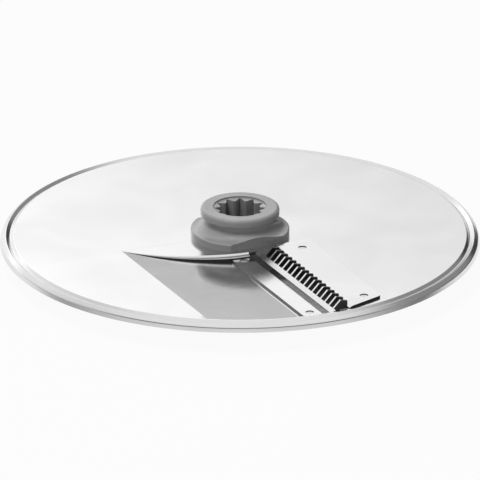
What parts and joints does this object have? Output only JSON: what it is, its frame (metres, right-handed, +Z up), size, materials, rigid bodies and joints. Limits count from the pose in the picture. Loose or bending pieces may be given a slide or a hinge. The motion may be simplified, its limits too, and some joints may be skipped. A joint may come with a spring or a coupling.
{
  "type": "food processor disc",
  "caption": "Round pressed-steel food processor disc with a toothed julienne blade over a sloping ramp, riveted strip and splined plastic drive hub.",
  "frame": {"origin": "on the hub's axis, at the foot of the hub's lower boss, which is the lowest point", "axes": "+Z up along the drive axis, out of the cutting side; +X to the right and -Y towards the viewer in the picture"},
  "size_m": [0.135, 0.135, 0.0172],
  "materials": {
    "disc_steel": "polished stainless sheet",
    "hub_plastic": "fine matt mid-grey moulding",
    "blade_steel": "bright ground stainless plate",
    "strip_steel": "bright stainless strip",
    "rivet_steel": "bright stainless rivets"
  },
  "bodies": {
    "root": {"disc": "disc_steel", "hub": "hub_plastic", "julienne_blade": "blade_steel", "ledge_strip": "strip_steel", "rivets": "rivet_steel"}
  },
  "joints": []
}
